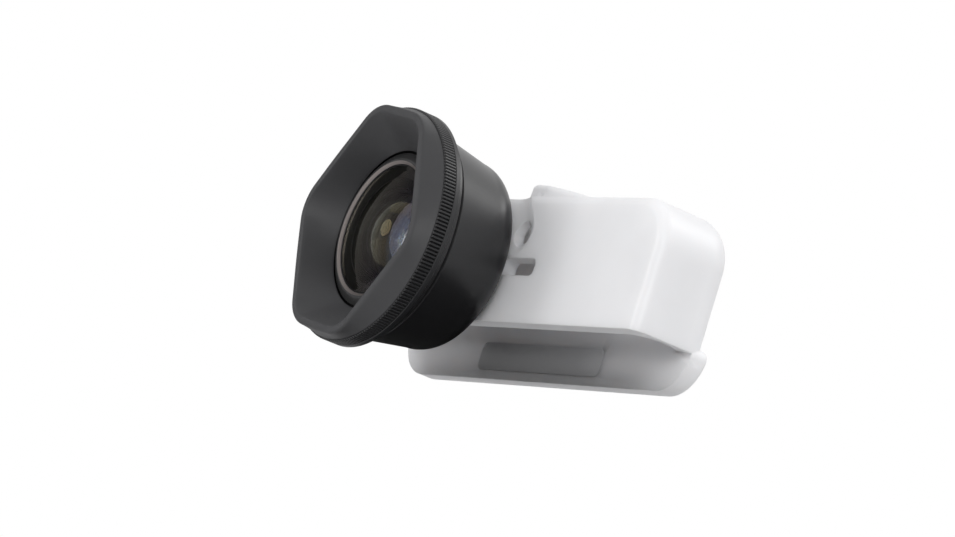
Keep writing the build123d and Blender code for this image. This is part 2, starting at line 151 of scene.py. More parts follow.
# %% Lamps
subject = Vector((0, -0.01, -0.01))


def soft_lamp(name, place, width, height, power):
    """An oval lamp that faces the object."""
    data = bpy.data.lights.new(name, "AREA")
    data.shape = "ELLIPSE"
    data.size = width
    data.size_y = height
    data.energy = power
    lamp = bpy.data.objects.new(name, data)
    lamp.location = place
    lamp.rotation_euler = (subject - Vector(place)).to_track_quat("-Z", "Y").to_euler()
    bpy.context.scene.collection.objects.link(lamp)


lamps = [
    ("back_sheet", (0.24, 0.43, 0.69), 0.45, 0.35, 1.55),
    ("front_sheet", (-0.40, -0.85, 0.15), 0.5, 0.5, 1.8),
    ("side_sheet", (0.70, -0.54, 0.20), 0.4, 0.4, 2.2),
]
for entry in lamps:
    soft_lamp(*entry)
print("lamps hang:", len(lamps))

# %% [markdown]
# The floor lies well below the object. The black card stands upright under the cap, where a phone would
# be, and gives the black metal its deep lower side. Two large grey cards stand in front and on the left
# where only mirror and glass rays meet them, so that the glasses show a dimmer room. The camera sees none
# of the cards.

# %% Floor and cards
def sheet(name, corners):
    """A flat piece of scenery from its four corners in metres."""
    mesh = bpy.data.meshes.new(name)
    mesh.from_pydata(corners, [], [(0, 1, 2, 3)])
    piece = bpy.data.objects.new(name, mesh)
    bpy.context.scene.collection.objects.link(piece)
    return piece


def upright_card(name, left, right, low, high):
    """An upright sheet between two places on the ground plan and two heights, hidden from the camera."""
    piece = sheet(name, [(*left, low), (*right, low), (*right, high), (*left, high)])
    piece.visible_camera = False
    return piece


reach = 3.0
floor_z = -0.16
floor = sheet("floor", [(x * reach, y * reach, floor_z) for x, y in ((-1, -1), (1, -1), (1, 1), (-1, 1))])

phone_half_width = 0.033
phone_face = -0.0036
phone_left, phone_right = (-phone_half_width, phone_face), (phone_half_width, phone_face)
phone_low, phone_high = -0.12, -0.019
black_card = upright_card("black_card", phone_left, phone_right, phone_low, phone_high)

grey_low, grey_high = -0.60, 0.80
shared_corner = (-0.70, -0.90)
grey_cards = [
    upright_card("front_card", (0.60, -1.10), shared_corner, grey_low, grey_high),
    upright_card("left_card", shared_corner, (-0.70, 0.30), grey_low, grey_high),
]
for card in grey_cards:
    card.visible_diffuse = False
    card.visible_shadow = False
print("floor and cards stand")

# %% [markdown]
# ## Shared effects
# Several finishes here share two fine effects: the soft grain that a mould or a blast of glass beads
# leaves, and the fine rings that a lathe leaves. Each is built once as a node group with named inputs,
# and each material that has the effect places the group with its own values.

# %% Grain group
def new_group(name, inputs, outputs):
    """An empty shader group with number inputs and outputs."""
    group = bpy.data.node_groups.new(name, "ShaderNodeTree")
    for label, value in inputs:
        socket = group.interface.new_socket(label, in_out="INPUT", socket_type="NodeSocketFloat")
        socket.default_value = value
    for label in outputs:
        group.interface.new_socket(label, in_out="OUTPUT", socket_type="NodeSocketFloat")
    return group


def grain_group():
    """Two noises on object coordinates: a fine one for relief and a broad one for tone."""
    group = new_group("surface_grain", [("Fine Scale", 4000.0), ("Broad Scale", 90.0)], ["Relief", "Tone"])
    add = group.nodes.new
    source = add("NodeGroupInput")
    result = add("NodeGroupOutput")
    place = add("ShaderNodeTexCoord")
    fine = add("ShaderNodeTexNoise")
    broad = add("ShaderNodeTexNoise")
    fine.inputs["Detail"].default_value = 3.0
    broad.inputs["Detail"].default_value = 4.0
    link = group.links.new
    link(place.outputs["Object"], fine.inputs["Vector"])
    link(place.outputs["Object"], broad.inputs["Vector"])
    link(source.outputs["Fine Scale"], fine.inputs["Scale"])
    link(source.outputs["Broad Scale"], broad.inputs["Scale"])
    link(fine.outputs["Fac"], result.inputs["Relief"])
    link(broad.outputs["Fac"], result.inputs["Tone"])
    return group


surface_grain = grain_group()
print("grain outputs:", [s.name for s in surface_grain.interface.items_tree if s.in_out == "OUTPUT"])

# %% [markdown]
# A lathe's rings depend only on how far a point is from the axis and how deep it lies. The group also hands
# on these two lengths, so that a material can change its colour at a radius or a depth.

# %% Turning marks group
def radius_nodes(group):
    """Distance from the lens axis, and depth along it, from object coordinates."""
    add = group.nodes.new
    link = group.links.new
    place = add("ShaderNodeTexCoord")
    centre = add("ShaderNodeVectorMath")
    centre.operation = "SUBTRACT"
    centre.inputs[1].default_value = (axis_x * mm, 0, axis_z * mm)
    flat = add("ShaderNodeVectorMath")
    flat.operation = "MULTIPLY"
    flat.inputs[1].default_value = (1, 0, 1)
    length = add("ShaderNodeVectorMath")
    length.operation = "LENGTH"
    split = add("ShaderNodeSeparateXYZ")
    link(place.outputs["Object"], centre.inputs[0])
    link(centre.outputs[0], flat.inputs[0])
    link(flat.outputs[0], length.inputs[0])
    link(place.outputs["Object"], split.inputs["Vector"])
    return length.outputs["Value"], split.outputs["Y"]


def turning_group():
    """Fine rings about the lens axis: a noise read along radius and depth only."""
    group = new_group("turning_marks", [("Ring Scale", 9000.0)], ["Relief", "Radius", "Depth"])
    radius, depth = radius_nodes(group)
    add = group.nodes.new
    link = group.links.new
    source = add("NodeGroupInput")
    result = add("NodeGroupOutput")
    both = add("ShaderNodeCombineXYZ")
    rings = add("ShaderNodeTexNoise")
    rings.inputs["Detail"].default_value = 2.0
    link(radius, both.inputs["X"])
    link(depth, both.inputs["Y"])
    link(both.outputs["Vector"], rings.inputs["Vector"])
    link(source.outputs["Ring Scale"], rings.inputs["Scale"])
    link(rings.outputs["Fac"], result.inputs["Relief"])
    link(radius, result.inputs["Radius"])
    link(depth, result.inputs["Depth"])
    return group


turning_marks = turning_group()
print("shader groups:", [g.name for g in bpy.data.node_groups])

# %% [markdown]
# ## Finishes
# Most finishes here differ in only a few things: colour, how rough they are, how strong their grain
# is, and how far a sharp edge looks rounded. One function sets these on a fresh material, and what is
# special to a finish is added to it afterwards.

# %% A grained finish
darkest_tone = 0.94
lightest_tone = 1.05
grain_height = 0.03 * mm


def grained(name, colour, rough, spread, grain, relief, metallic=0.0, edge=0.00012, broad=90.0, specular=0.5):
    """A material with a fine grain, a slight change of tone and softly rounded edges."""
    material = bpy.data.materials.new(name)
    material.use_nodes = True
    add = material.node_tree.nodes.new
    link = material.node_tree.links.new
    shader = material.node_tree.nodes["Principled BSDF"]
    shader.inputs["Metallic"].default_value = metallic
    shader.inputs["Specular IOR Level"].default_value = specular
    effect = add("ShaderNodeGroup")
    effect.node_tree = surface_grain
    effect.inputs["Fine Scale"].default_value = grain
    effect.inputs["Broad Scale"].default_value = broad
    tint = add("ShaderNodeMix")
    tint.data_type = "RGBA"
    tint.inputs["A"].default_value = [c * darkest_tone for c in colour] + [1]
    tint.inputs["B"].default_value = [min(c * lightest_tone, 1.0) for c in colour] + [1]
    shine = add("ShaderNodeMapRange")
    shine.inputs["To Min"].default_value = rough - spread
    shine.inputs["To Max"].default_value = rough + spread
    soft_edge = add("ShaderNodeBevel")
    soft_edge.inputs["Radius"].default_value = edge
    bump = add("ShaderNodeBump")
    bump.inputs["Strength"].default_value = relief
    bump.inputs["Distance"].default_value = grain_height
    link(effect.outputs["Tone"], tint.inputs["Factor"])
    link(effect.outputs["Tone"], shine.inputs["Value"])
    link(effect.outputs["Relief"], bump.inputs["Height"])
    link(soft_edge.outputs["Normal"], bump.inputs["Normal"])
    link(tint.outputs["Result"], shader.inputs["Base Color"])
    link(shine.outputs["Result"], shader.inputs["Roughness"])
    link(bump.outputs["Normal"], shader.inputs["Normal"])
    return material


cap_white = grained("cap_white", (0.86, 0.86, 0.87), 0.42, 0.05, 2600.0, 0.10, edge=0.00025)
pad_grey = grained("pad_grey", (0.74, 0.74, 0.75), 0.8, 0.05, 5000.0, 0.4)
hood_grey = grained("hood_grey", (0.030, 0.030, 0.032), 0.55, 0.05, 9000.0, 0.35)
barrel_black = grained("barrel_black", (0.012, 0.012, 0.013), 0.34, 0.04, 7000.0, 0.12)
grip_black = grained("grip_black", (0.006, 0.006, 0.007), 0.42, 0.04, 7000.0, 0.15, edge=0.00003)
inner_black = grained("inner_black", (0.006, 0.006, 0.006), 0.8, 0.05, 2500.0, 0.04, specular=0.2)
rubber_black = grained("rubber_black", (0.012, 0.012, 0.012), 0.75, 0.05, 5000.0, 0.3)
washer_black = grained("washer_black", (0.020, 0.020, 0.020), 0.6, 0.05, 5000.0, 0.2)
screw_black = grained("screw_black", (0.05, 0.05, 0.05), 0.35, 0.05, 6000.0, 0.1, metallic=1.0, edge=0.00005)
card_grey = grained("card_grey", (0.60, 0.60, 0.61), 0.9, 0.05, 300.0, 0.02, broad=3.0)
floor_white = grained("floor_white", (0.95, 0.95, 0.95), 0.7, 0.05, 300.0, 0.02, broad=3.0)

# light enters the white plastic and leaves it again a few millimetres away
cap_shader = cap_white.node_tree.nodes["Principled BSDF"]
cap_shader.inputs["Subsurface Weight"].default_value = 0.6
cap_shader.inputs["Subsurface Radius"].default_value = (1.0, 0.95, 0.92)
cap_shader.inputs["Subsurface Scale"].default_value = 0.003
print("grained finishes:", len(bpy.data.materials))

# %% [markdown]
# The floor is white to the eye. Light that bounces up from so large a white sheet would wash out the
# undersides, so to the rays that light the object it is a mid grey, as if a smaller sheet lay there.

# %% Floor finish
floor_bounce = (0.50, 0.50, 0.50, 1)
floor_tree = floor_white.node_tree
floor_out = floor_tree.nodes["Material Output"]
floor_dark = floor_tree.nodes.new("ShaderNodeBsdfDiffuse")
floor_dark.inputs["Color"].default_value = floor_bounce
floor_mix = floor_tree.nodes.new("ShaderNodeMixShader")
floor_tree.links.new(shows_background(floor_tree), floor_mix.inputs["Fac"])
floor_tree.links.new(floor_dark.outputs["BSDF"], floor_mix.inputs[1])
floor_tree.links.new(floor_tree.nodes["Principled BSDF"].outputs["BSDF"], floor_mix.inputs[2])
floor_tree.links.new(floor_mix.outputs["Shader"], floor_out.inputs["Surface"])
floor.data.materials.append(floor_white)
black_card.data.materials.append(inner_black)
for card in grey_cards:
    card.data.materials.append(card_grey)
print("scenery finished:", [piece.name for piece in (floor, black_card, *grey_cards)])

# %% [markdown]
# Turned metal takes its tone, its roughness and its relief from the same rings, as marks of a lathe do.

# %% Turned steel and the bronze bevel
mark_tone = 0.8
mark_strength = 0.25
mark_height = 0.02 * mm
mark_spread = 0.06


def turned_metal(name, colour, rough):
    """Bright metal with lathe rings."""
    material = bpy.data.materials.new(name)
    material.use_nodes = True
    add = material.node_tree.nodes.new
    link = material.node_tree.links.new
    shader = material.node_tree.nodes["Principled BSDF"]
    shader.inputs["Metallic"].default_value = 1.0
    marks = add("ShaderNodeGroup")
    marks.node_tree = turning_marks
    tint = add("ShaderNodeMix")
    tint.data_type = "RGBA"
    tint.inputs["A"].default_value = [c * mark_tone for c in colour] + [1]
    tint.inputs["B"].default_value = [*colour, 1]
    bump = add("ShaderNodeBump")
    bump.inputs["Strength"].default_value = mark_strength
    bump.inputs["Distance"].default_value = mark_height
    shine = add("ShaderNodeMapRange")
    shine.inputs["To Min"].default_value = rough - mark_spread
    shine.inputs["To Max"].default_value = rough + mark_spread
    link(marks.outputs["Relief"], tint.inputs["Factor"])
    link(marks.outputs["Relief"], shine.inputs["Value"])
    link(marks.outputs["Relief"], bump.inputs["Height"])
    link(tint.outputs["Result"], shader.inputs["Base Color"])
    link(shine.outputs["Result"], shader.inputs["Roughness"])
    link(bump.outputs["Normal"], shader.inputs["Normal"])
    return material


insert_steel = turned_metal("insert_steel", (0.55, 0.55, 0.56), 0.3)
bronze_bevel = turned_metal("bronze_bevel", (0.23, 0.205, 0.195), 0.42)
print("turned metals:", insert_steel.name, bronze_bevel.name)

# %% [markdown]
# Only the narrow bevel round the glass is bright, the ring's front is black, and its bore is painted grey as
# a painted reflection of the light that its black wall catches.
# The turning marks also give the place of each point, so two limits, one outwards and one along the axis,
# choose between the three.

# %% Black outside the bevel
bevel_r = 9.86
bevel_foot = 14.1
ring_black = (0.008, 0.008, 0.008)
# painted reflection: this grey stands for light caught by the bore's black wall, which has no grey of its own
bore_painted_sheen = (0.16, 0.16, 0.17)
bevel_tree = bronze_bevel.node_tree
bevel_shader = bevel_tree.nodes["Principled BSDF"]
bevel_marks = next(n for n in bevel_tree.nodes if n.type == "GROUP")
bevel_colour = bevel_shader.inputs["Base Color"].links[0].from_socket


def below(source, limit):
    """A mask of 1 where a value lies below a limit in millimetres."""
    node = bevel_tree.nodes.new("ShaderNodeMath")
    node.operation = "LESS_THAN"
    node.inputs[1].default_value = limit * mm
    bevel_tree.links.new(source, node.inputs[0])
    return node.outputs["Value"]


def choose(mask, off, on):
    """One colour or another by a mask. Either may be a colour or a socket."""
    node = bevel_tree.nodes.new("ShaderNodeMix")
    node.data_type = "RGBA"
    bevel_tree.links.new(mask, node.inputs["Factor"])
    for label, value in (("A", off), ("B", on)):
        if isinstance(value, tuple):
            node.inputs[label].default_value = (*value, 1)
        else:
            bevel_tree.links.new(value, node.inputs[label])
    return node.outputs["Result"]


inside = below(bevel_marks.outputs["Radius"], bevel_r)
proud = below(bevel_marks.outputs["Depth"], cap_face - bevel_foot)
both = bevel_tree.nodes.new("ShaderNodeMath")
both.operation = "MULTIPLY"
bevel_tree.links.new(inside, both.inputs[0])
bevel_tree.links.new(proud, both.inputs[1])
# the ring's front stays black, and its bore takes the painted grey sheen
black_or_painted_sheen = choose(inside, ring_black, bore_painted_sheen)
bevel_tree.links.new(choose(both.outputs["Value"], black_or_painted_sheen, bevel_colour), bevel_shader.inputs["Base Color"])
bevel_tree.links.new(both.outputs["Value"], bevel_shader.inputs["Metallic"])
print("the bevel lies inside", bevel_r, "mm and beyond", bevel_foot, "mm")

# %% [markdown]
# ## Coated glass
# Lens glass is clear, and what one sees of it is its reflections. A coating makes them weaker and leaves
# a faint colour. The shader's thin film does both, and its colour changes with the angle. A real coating
# has several layers where this film has one, so a tint on the reflections leans their colour further.

# %% Glass finishes
film_index = 1.38
faint_haze = 0.008


def coated_glass(name, index, film, tint):
    """Clear glass under a film of so many nanometres, with a tint on what it reflects."""
    material = bpy.data.materials.new(name)
    material.use_nodes = True
    add = material.node_tree.nodes.new
    link = material.node_tree.links.new
    shader = material.node_tree.nodes["Principled BSDF"]
    shader.inputs["Base Color"].default_value = (1, 1, 1, 1)
    shader.inputs["Transmission Weight"].default_value = 1.0
    shader.inputs["IOR"].default_value = index
    shader.inputs["Thin Film Thickness"].default_value = film
    shader.inputs["Thin Film IOR"].default_value = film_index
    shader.inputs["Specular Tint"].default_value = (*tint, 1)
    effect = add("ShaderNodeGroup")
    effect.node_tree = surface_grain
    effect.inputs["Broad Scale"].default_value = 200.0
    shine = add("ShaderNodeMapRange")
    shine.inputs["To Min"].default_value = 0.0
    shine.inputs["To Max"].default_value = faint_haze
    link(effect.outputs["Tone"], shine.inputs["Value"])
    link(shine.outputs["Result"], shader.inputs["Roughness"])
    return material


front_glass = coated_glass("front_glass", 1.62, 116.0, (0.88, 1.0, 0.88))
second_glass = coated_glass("second_glass", 1.52, 142.0, (0.55, 0.85, 1.0))
crown_glass = coated_glass("crown_glass", 1.52, 120.0, (0.60, 1.0, 0.70))
flint_glass = coated_glass("flint_glass", 1.62, 125.0, (0.8, 0.9, 0.9))
print("glass finishes:", [m.name for m in bpy.data.materials if "glass" in m.name])

# %% [markdown]
# ## Smooth copies of the solids
# The measured solids arrive as loose triangles, which shade flat. A copy with its points merged and
# only its real corners kept sharp shows the same shape with smooth rounds. The copy then stands for
# the solid.

# %% Copy and smooth
merge_distance = 0.001 * mm
real_corner = math.radians(28)


def smooth_copy(node, piece, body, material, slot):
    """A merged, smooth-shaded copy of a solid that stands in its place."""
    mesh = nodes[node].data.copy()
    mesh.name = piece
    shape = bmesh.new()
    shape.from_mesh(mesh)
    bmesh.ops.remove_doubles(shape, verts=shape.verts, dist=merge_distance)
    for face in shape.faces:
        face.smooth = True
    shape.to_mesh(mesh)
    shape.free()
    mesh.set_sharp_from_angle(angle=real_corner)
    mesh.materials.clear()
    mesh.materials.append(material)
    copy = bpy.data.objects.new(piece, mesh)
    bpy.context.scene.collection.objects.link(copy)
    even = copy.modifiers.new("even_normals", "WEIGHTED_NORMAL")
    even.keep_sharp = True
    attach(copy, body)
    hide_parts(node)


copies = [
    ("clip_shell", "clip_cap", "clip", cap_white, "clip_plastic"),
    ("rear_pad", "clip_pad", "clip", pad_grey, "pad_rubber"),
    ("seat_washer", "friction_washer", "washer", washer_black, "washer_plastic"),
    ("lens_cell", "cell", "lens", inner_black, "inner_metal"),
    ("cell_screws", "small_screws", "lens", screw_black, "screw_steel"),
    ("front_seal_ring", "front_seal", "lens", rubber_black, "seal_rubber"),
    ("spacer_ring", "spacer", "lens", inner_black, "inner_metal"),
    ("baffle_ring", "baffle", "lens", inner_black, "inner_metal"),
    ("rear_retaining_ring", "rear_ring", "lens", inner_black, "inner_metal"),
    ("hood_friction_ring", "hood_ring", "lens", rubber_black, "seal_rubber"),
]
for entry in copies:
    smooth_copy(*entry)
print("smooth copies:", len(copies))

# %% [markdown]
# ## The glasses
# Light that passes through a lens shows every facet, so the glasses are turned again here as even
# rings of points about the axis, with the same radii as the solids. Their edges are painted black, as a
# maker paints them, because light that strays into a clear edge comes back as glare.

# %% Turn a profile about the axis
def turned_piece(name, profile, material, steps, closed=False):
    """A turned mesh from (radius, distance) points. A ring's profile is closed, a glass's isn't."""
    shape = bmesh.new()
    angles = [2 * math.pi * i / steps for i in range(steps)]
    rings = []
    for radius, out in profile:
        if radius == 0:
            rings.append([shape.verts.new((0, 0, out))])
            continue
        rings.append([shape.verts.new((radius * math.cos(a), radius * math.sin(a), out)) for a in angles])
    following = rings[1:] + rings[:1] if closed else rings[1:]
    for first, second in zip(rings, following):
        for i in range(steps):
            j = (i + 1) % steps
            around = [(first, i), (first, j), (second, j), (second, i)]
            corners = [ring[k % len(ring)] for ring, k in around]
            face = shape.faces.new(list(dict.fromkeys(corners)))
            face.smooth = True
    bmesh.ops.recalc_face_normals(shape, faces=shape.faces)
    shape.transform(on_axis)
    mesh = bpy.data.meshes.new(name)
    shape.to_mesh(mesh)
    shape.free()
    mesh.set_sharp_from_angle(angle=real_corner)
    mesh.materials.append(material)
    piece = bpy.data.objects.new(name, mesh)
    bpy.context.scene.collection.objects.link(piece)
    return piece


def dome(edge_r, edge, curve_r, rise, points=22):
    """Points of a spherical surface from the axis to its edge. A negative rise is hollow."""
    deep = curve_r - math.sqrt(curve_r**2 - edge_r**2)
    surface = []
    for i in range(points + 1):
        r = edge_r * i / points
        surface.append((r, edge + rise * (deep - curve_r + math.sqrt(curve_r**2 - r**2))))
    return surface


glass_steps = 128


def glass_piece(name, node, material, front, rim_r, back):
    """A glass with a painted edge. A surface is its edge radius, distance, curve radius and rise."""
    face = dome(*front)
    rear = dome(*back)
    rim = [(rim_r, front[1]), (rim_r, back[1])]
    edge = [p for p in rim if p not in (face[-1], rear[-1])]
    piece = turned_piece(name, face + edge + rear[::-1], material, steps=glass_steps)
    piece.data.materials.append(inner_black)
    painted = range(len(face) - 1, len(face) + len(edge))
    for polygon in piece.data.polygons:
        if polygon.index // glass_steps in painted:
            polygon.material_index = 1
    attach(piece, "lens")
    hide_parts(node)


cemented = (6.0, 4.8, 15.0, -1)
glasses = [
    ("front_lens", "front_element", front_glass, (9.2, 14.05, 28.0, 1), 9.6, (7.2, 11.0, 10.4, 1)),
    ("second_lens", "second_element", second_glass, (6.9, 9.9, 90.0, -1), 7.8, (6.9, 8.0, 70.0, 1)),
    ("crown_lens", "doublet_crown", crown_glass, (5.6, 5.6, 20.0, 1), 6.0, cemented),
    ("flint_lens", "doublet_flint", flint_glass, cemented, 6.0, (5.0, 2.8, 60.0, -1)),
]
for entry in glasses:
    glass_piece(*entry)
print("glasses turned:", len(glasses))

# %% [markdown]
# ## Barrel and front ring
# Both are turned on the real lens, so a profile swept round the axis is the honest way to draw them, and
# it shades without the streaks that long thin triangles leave. The profiles follow the measured solids,
# with the sharp corners of the flange broken a little. Each point is a radius and a distance from the cap.

# %% Barrel
def arc(centre_r, centre_out, radius, start, end, points=16):
    """Points of a circular arc in the profile's plane, between two angles in degrees."""
    angles = [math.radians(start + (end - start) * i / points) for i in range(points + 1)]
    return [(centre_r + radius * math.cos(a), centre_out + radius * math.sin(a)) for a in angles]


fine_steps = 256
round_r, inner_round_r = 3.4, 2.1
round_centre_r, round_centre = 10.4, 3.8
side_rows = 12
side_back_r, side_flare, side_length = 13.8, 1.4, 7.75
side_wall = []
for i in range(1, side_rows + 1):
    share = i / side_rows
    side_wall.append((side_back_r + side_flare * share, round_centre + side_length * share))

waist_r, waist_back = 14.9, 11.85
flange_r, flange_back, flange_front = 16.2, 12.55, 13.25
broken = 0.08
flange = [
    (waist_r, waist_back), (waist_r, flange_back),
    (flange_r - broken, flange_back), (flange_r, flange_back + broken),
    (flange_r, flange_front - broken), (flange_r - broken, flange_front),
]
neck_r, neck_front, neck_bore_r = 15.6, 15.5, 14.4
groove_r, groove_back, groove_front = 15.25, 14.05, 14.75
neck = [
    (neck_r, flange_front), (neck_r, groove_back), (groove_r, groove_back),
    (groove_r, groove_front), (neck_r, groove_front), (neck_r, neck_front),
]
ledge, ledge_back, ledge_r = 11.9, 10.9, 12.25
inner_wall_top = 10.4
bore = [
    (neck_bore_r, neck_front), (neck_bore_r, ledge), (ledge_r, ledge),
    (ledge_r, ledge_back), (round_centre_r + inner_round_r, inner_wall_top),
]
throat_r, throat_front, barrel_back = 7.93, 1.7, 0.4
throat = [(throat_r, throat_front), (throat_r, barrel_back)]

outer_round = arc(round_centre_r, round_centre, round_r, -90, 0)
inner_round = arc(round_centre_r, round_centre, inner_round_r, 0, -90, 8)
barrel_profile = outer_round + side_wall + flange + neck + bore + inner_round + throat
barrel = turned_piece("barrel", barrel_profile, barrel_black, steps=fine_steps, closed=True)
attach(barrel, "lens")
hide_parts("barrel_shell")
print("barrel faces:", len(barrel.data.polygons))

# %% [markdown]
# The front ring screws into the cell and holds the front glass by a narrow lip. The bevel runs from that lip
# up to the ring's flat front.

# %% Front ring
ring_bore_r, ring_outer_r, lip_r = 9.63, 11.17, 9.45
ring_back, ring_shoulder, ring_top = 11.7, 13.75, 14.45
glass_face, bevel_start = 14.05, 14.15
outer_corner = [(10.25, 14.42), (10.17, ring_top)]
inner_corner = [(9.88, ring_top), (9.83, 14.43)]
ring_profile = [
    (ring_bore_r, ring_back), (ring_outer_r, ring_back), (ring_outer_r, ring_shoulder),
    *outer_corner, *inner_corner,
    (lip_r, bevel_start), (lip_r, glass_face), (ring_bore_r, glass_face),
]
front_ring = turned_piece("front_ring", ring_profile, bronze_bevel, steps=fine_steps, closed=True)
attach(front_ring, "lens")
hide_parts("front_retaining_ring")
print("ring faces:", len(front_ring.data.polygons))

# %% [markdown]
# ## The ribbed grip
# The grip is a smooth ring with 207 fine ribs and a plain lip. One rib is a small wedge, and a Geometry
# Nodes tree stands a copy of it on each point of a circle. A tree suits this well, because the count
# and the radius stay two numbers that can be changed later. A rib is drawn down from its top, so the circle
# has the radius of the ribs' tops.

# %% One rib and the ring that carries it
rib_count = 207
grip_r = 17.05
rib_depth = 0.22
grip_back = 13.5
lip_front = 14.3
grip_front = 16.2
foot_share, top_share = 0.5, 0.2
buried, back_ramp, front_ramp, front_gap = 0.05, 0.08, 0.16, 0.02
front_rise = 0.35
pitch = 2 * math.pi * grip_r / rib_count


def rib_mesh():
    """One rib along the axis, with a flat top, sloping sides and bevelled ends."""
    foot = pitch * foot_share
    top = pitch * top_share
    low = -rib_depth
    back_end = [(lip_front - buried, 0.0), (lip_front + back_ramp, 1.0)]
    front_end = [(grip_front - front_ramp, 1.0), (grip_front - front_gap, front_rise)]
    ends = back_end + front_end
    verts = []
    for out, rise in ends:
        high = low + rib_depth * rise
        half = foot + (top - foot) * rise
        verts += [(-foot, low, out), (-half, high, out), (half, high, out), (foot, low, out)]
    faces = []
    for i in range(len(ends) - 1):
        for k in range(3):
            a = 4 * i + k
            faces.append((a, a + 1, a + 5, a + 4))
        faces.append((4 * i, 4 * i + 4, 4 * i + 7, 4 * i + 3))
    last = 4 * len(ends)
    faces += [(0, 3, 2, 1), (last - 4, last - 3, last - 2, last - 1)]
    mesh = bpy.data.meshes.new("rib")
    mesh.from_pydata(verts, [], faces)
    return mesh


rib = bpy.data.objects.new("rib", rib_mesh())
print("rib pitch in mm:", round(pitch, 3))

# %% [markdown]
# The tree takes the rib as its geometry, and the count and the radius as numbers. Its result is read back as
# one plain mesh.

# %% The tree that repeats a rib
def ring_of_ribs(material):
    """Geometry Nodes tree: a rib on every point of a circle, turned to point outwards."""
    tree = bpy.data.node_groups.new("ring_of_ribs", "GeometryNodeTree")
    tree.interface.new_socket("Geometry", in_out="INPUT", socket_type="NodeSocketGeometry")
    count = tree.interface.new_socket("Rib Count", in_out="INPUT", socket_type="NodeSocketInt")
    radius = tree.interface.new_socket("Top Radius", in_out="INPUT", socket_type="NodeSocketFloat")
    tree.interface.new_socket("Geometry", in_out="OUTPUT", socket_type="NodeSocketGeometry")
    add = tree.nodes.new
    link = tree.links.new
    source = add("NodeGroupInput")
    result = add("NodeGroupOutput")
    circle = add("GeometryNodeMeshCircle")
    stand = add("GeometryNodeInstanceOnPoints")
    outward = add("FunctionNodeAlignRotationToVector")
    outward.axis = "Y"
    outward.pivot_axis = "Z"
    where = add("GeometryNodeInputPosition")
    plain = add("GeometryNodeRealizeInstances")
    paint = add("GeometryNodeSetMaterial")
    paint.inputs["Material"].default_value = material
    link(source.outputs["Rib Count"], circle.inputs["Vertices"])
    link(source.outputs["Top Radius"], circle.inputs["Radius"])
    link(circle.outputs["Mesh"], stand.inputs["Points"])
    link(source.outputs["Geometry"], stand.inputs["Instance"])
    link(where.outputs["Position"], outward.inputs["Vector"])
    link(outward.outputs["Rotation"], stand.inputs["Rotation"])
    link(stand.outputs["Instances"], plain.inputs["Geometry"])
    link(plain.outputs["Geometry"], paint.inputs["Geometry"])
    link(paint.outputs["Geometry"], result.inputs["Geometry"])
    return tree, count.identifier, radius.identifier


rib_tree, count_input, radius_input = ring_of_ribs(grip_black)
bpy.context.scene.collection.objects.link(rib)
repeat = rib.modifiers.new("repeat", "NODES")
repeat.node_group = rib_tree
repeat[count_input] = rib_count
repeat[radius_input] = grip_r
graph = bpy.context.evaluated_depsgraph_get()
ribs_mesh = bpy.data.meshes.new_from_object(rib.evaluated_get(graph), depsgraph=graph)
bpy.data.objects.remove(rib)
print("rib faces:", len(ribs_mesh.polygons))

# %% [markdown]
# The ribs' feet lie on the ring at their root radius, and the plain lip behind them stands as high as their
# tops.

# %% Join the ribs to their ring
root_r = grip_r - rib_depth
bore_r = 16.35
back_chamfer, lip_chamfer = 0.12, 0.08
grip_steps = 192
grip_profile = [
    (bore_r, grip_back), (grip_r - back_chamfer, grip_back), (grip_r, grip_back + back_chamfer),
    (grip_r, lip_front - lip_chamfer), (grip_r - lip_chamfer, lip_front),
    (root_r, lip_front), (root_r, grip_front), (bore_r, grip_front),
]
grip = turned_piece("ribbed_grip", grip_profile, grip_black, steps=grip_steps, closed=True)
joined = bmesh.new()
joined.from_mesh(ribs_mesh)
joined.transform(on_axis)
joined.from_mesh(grip.data)
joined.to_mesh(grip.data)
joined.free()
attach(grip, "hood")
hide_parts("grip_ring")
print("grip faces:", len(grip.data.polygons))

# %% [markdown]
# ## The hood
# The hood is the hardest shape here. Its back is round and its front is a rounded hexagon, outside and
# inside, and the two are joined by straight lines. A ring of points at each step from back to front, with
# the radius mixed between the circle and the hexagon at every angle, gives an even mesh that shades
# without creases.

# %% The rounded hexagon
hood_turn = math.radians(-8.75)
hood_corner_r = 5.5
slope = math.radians(30)
core_top = 10.7
core_side = 8.5
core_top_x = (core_side - core_top * math.sin(slope)) / math.cos(slope)
core_side_x = core_side / math.cos(slope)
nearest, farthest, halvings = 5.0, 25.0, 40
core = [Vector(p) for p in (
    (core_side_x, 0), (core_top_x, core_top), (-core_top_x, core_top),
    (-core_side_x, 0), (-core_top_x, -core_top), (core_top_x, -core_top),
)]


def outside_core(point):
    """Distance of a point from the sharp hexagon that the rounded one grows from."""
    least = math.inf
    inside_all = True
    for a, b in zip(core, core[1:] + core[:1]):
        edge = b - a
        along = max(0.0, min(1.0, (point - a).dot(edge) / edge.length_squared))
        least = min(least, (point - a - along * edge).length)
        if edge.cross(point - a) < 0:
            inside_all = False
    return -least if inside_all else least


def hexagon_radius(angle, inset):
    """Distance from the axis to the rounded hexagon, set in by an inset, along an angle."""
    ray = Vector((math.cos(angle), math.sin(angle)))
    low, high = nearest, farthest
    for _ in range(halvings):
        middle = (low + high) / 2
        if outside_core(ray * middle) < hood_corner_r - inset:
            low = middle
        else:
            high = middle
    return low


hood_steps = 360
hood_angles = [2 * math.pi * i / hood_steps for i in range(hood_steps)]
print("hood rim in mm, side corner and top:", [round(hexagon_radius(a, 0), 2) for a in (0, math.pi / 2)])

# %% [markdown]
# The stations go once round the hood's wall: over the sleeve that turns on the barrel's neck, up the funnel,
# over the rim and back down the shade.

# %% Stations round the wall
back_out, rim_out = 16.2, 18.4
funnel_out, funnel_r = 13.75, 11.5
rim_round, inner_rim_round = 0.3, 0.1
rim_width = 1.0
band_r = 16.8


